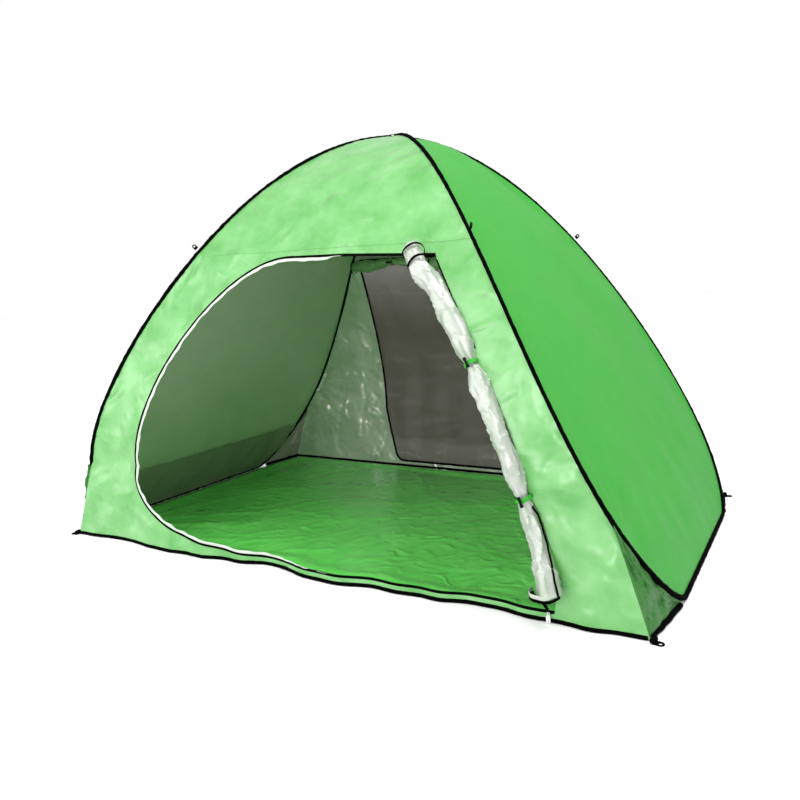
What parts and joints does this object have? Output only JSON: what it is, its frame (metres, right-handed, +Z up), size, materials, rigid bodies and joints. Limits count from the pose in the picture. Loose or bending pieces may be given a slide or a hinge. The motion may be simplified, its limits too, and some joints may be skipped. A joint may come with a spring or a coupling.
{
  "type": "pop up tent",
  "caption": "Pop up tent: fabric canopy on spring wire hoops joined at the peak, zipped door rolled aside, mesh window with rolled cover, corner gussets, peg loops and a sewn-in floor.",
  "frame": {"origin": "on the ground, midway between the four corners, under the peak", "axes": "+X to the right as seen from the door side, -Y out of the door, +Z up"},
  "size_m": [2.0762, 1.3787, 1.354],
  "materials": {
    "wall_fabric": "satin",
    "floor_fabric": "satin",
    "binding_tape": "matte",
    "silver_lining": "satin",
    "window_netting": "matte",
    "spring_wire": "satin",
    "zip_plastic": "matte",
    "zip_plastic_white": "satin",
    "webbing": "matte"
  },
  "bodies": {
    "floor": {"ground_sheet": "floor_fabric", "front_hem": "binding_tape", "rear_hem": "binding_tape", "right_hem": "binding_tape"},
    "right_side": {"right_panel": "wall_fabric", "right_sleeve": "binding_tape", "right_wire": "spring_wire", "right_ferrule": "spring_wire", "right_tub_wall": "floor_fabric", "right_front_gusset": "wall_fabric", "right_rear_gusset": "wall_fabric", "apex_tape": "binding_tape", "front_upper_panel": "wall_fabric", "front_lower_panel": "wall_fabric", "door_zip": "zip_plastic", "door_facing": "silver_lining", "rear_upper_panel": "wall_fabric", "rear_lower_panel": "wall_fabric", "window_mesh": "window_netting", "window_binding": "binding_tape", "window_cover": "floor_fabric"},
    "left_side": {"left_panel": "wall_fabric", "left_sleeve": "binding_tape", "left_wire": "spring_wire", "left_ferrule": "spring_wire", "left_tub_wall": "floor_fabric", "left_front_gusset": "wall_fabric", "left_rear_gusset": "wall_fabric", "left_hem": "binding_tape"},
    "door": {"door_roll": "silver_lining", "door_zip_tail": "binding_tape", "door_end_tape": "binding_tape", "door_upper_tie": "wall_fabric", "door_lower_tie": "wall_fabric", "door_upper_toggle": "zip_plastic", "door_lower_toggle": "zip_plastic"},
    "window_right_tie": {"window_right_tie": "floor_fabric", "window_right_toggle": "zip_plastic"},
    "window_left_tie": {"window_left_tie": "floor_fabric", "window_left_toggle": "zip_plastic"},
    "slider": {"zip_slider": "zip_plastic"},
    "pull": {"zip_pull": "zip_plastic_white"},
    "front_right_peg_loop": {"front_right_peg_loop": "webbing"},
    "front_right_guy_tab": {"front_right_guy_tab": "webbing"},
    "front_left_peg_loop": {"front_left_peg_loop": "webbing"},
    "front_left_guy_tab": {"front_left_guy_tab": "webbing"},
    "rear_right_peg_loop": {"rear_right_peg_loop": "webbing"},
    "rear_right_guy_tab": {"rear_right_guy_tab": "webbing"},
    "rear_left_peg_loop": {"rear_left_peg_loop": "webbing"},
    "rear_left_guy_tab": {"rear_left_guy_tab": "webbing"}
  },
  "joints": [
    {"name": "side_lean", "type": "hinge", "parent": "floor", "child": "right_side", "pos_m": [1.03, 0, 0.0085], "axis": [0, 1, 0], "range_deg": [0, 28], "stiffness_Nm_per_rad": 4, "springref_deg": -14.32, "deforming": ["front_upper_panel", "front_lower_panel", "door_zip", "door_facing", "rear_upper_panel", "rear_lower_panel", "window_mesh", "window_binding", "window_cover", "ground_sheet", "front_hem", "rear_hem", "apex_tape"]},
    {"name": "side_fold", "type": "hinge", "parent": "right_side", "child": "left_side", "pos_m": [0, 0, 1.3434], "axis": [0, -1, 0], "range_deg": [0, 56]},
    {"name": "door_follow", "type": "hinge", "parent": "right_side", "child": "door", "pos_m": [0, 0, 1.3434], "axis": [0, -1, 0], "range_deg": [0, 5]},
    {"name": "right_tie_follow", "type": "hinge", "parent": "right_side", "child": "window_right_tie", "pos_m": [0, 0, 1.3434], "axis": [0, -1, 0], "range_deg": [0, 9]},
    {"name": "left_tie_follow", "type": "hinge", "parent": "left_side", "child": "window_left_tie", "pos_m": [0, 0, 1.3434], "axis": [0, -1, 0], "range_deg": [-9, 0]},
    {"name": "zip_slide", "type": "slide", "parent": "door", "child": "slider", "axis": [-1, 0, 0], "range_m": [0, 0.45]},
    {"name": "pull_swing", "type": "hinge", "parent": "slider", "child": "pull", "pos_m": [0.754, -0.65614, 0.02825], "axis": [-1, 0, 0], "range_deg": [-5, 90]},
    {"name": "front_right_peg_loop_flap", "type": "hinge", "parent": "floor", "child": "front_right_peg_loop", "pos_m": [1.00982, -0.65466, 0.003], "axis": [-0.2079, -0.9781, 0], "range_deg": [0, 90]},
    {"name": "front_left_peg_loop_flap", "type": "hinge", "parent": "left_side", "child": "front_left_peg_loop", "pos_m": [-1.00982, -0.65466, 0.003], "axis": [-0.2079, 0.9781, 0], "range_deg": [0, 90]},
    {"name": "rear_right_peg_loop_flap", "type": "hinge", "parent": "floor", "child": "rear_right_peg_loop", "pos_m": [1.00982, 0.65466, 0.003], "axis": [0.2079, -0.9781, 0], "range_deg": [0, 90]},
    {"name": "rear_left_peg_loop_flap", "type": "hinge", "parent": "left_side", "child": "rear_left_peg_loop", "pos_m": [-1.00982, 0.65466, 0.003], "axis": [0.2079, 0.9781, 0], "range_deg": [0, 90]},
    {"name": "front_right_guy_tab_swing", "type": "hinge", "parent": "right_side", "child": "front_right_guy_tab", "pos_m": [0.49056, -0.47673, 0.98673], "axis": [0.5335, -0.4452, -0.7192], "range_deg": [-50, 50]},
    {"name": "front_left_guy_tab_swing", "type": "hinge", "parent": "left_side", "child": "front_left_guy_tab", "pos_m": [-0.49056, -0.47673, 0.98673], "axis": [-0.5335, -0.4452, -0.7192], "range_deg": [-50, 50]},
    {"name": "rear_right_guy_tab_swing", "type": "hinge", "parent": "right_side", "child": "rear_right_guy_tab", "pos_m": [0.49056, 0.47673, 0.98673], "axis": [0.5335, 0.4452, -0.7192], "range_deg": [-50, 50]},
    {"name": "rear_left_guy_tab_swing", "type": "hinge", "parent": "left_side", "child": "rear_left_guy_tab", "pos_m": [-0.49056, 0.47673, 0.98673], "axis": [-0.5335, 0.4452, -0.7192], "range_deg": [-50, 50]}
  ],
  "couplings": [
    {"joint": "side_fold", "follows": "side_lean", "ratio": 2},
    {"joint": "door_follow", "follows": "side_lean", "ratio": 0.17},
    {"joint": "right_tie_follow", "follows": "side_lean", "ratio": 0.309},
    {"joint": "left_tie_follow", "follows": "side_lean", "ratio": -0.309}
  ]
}
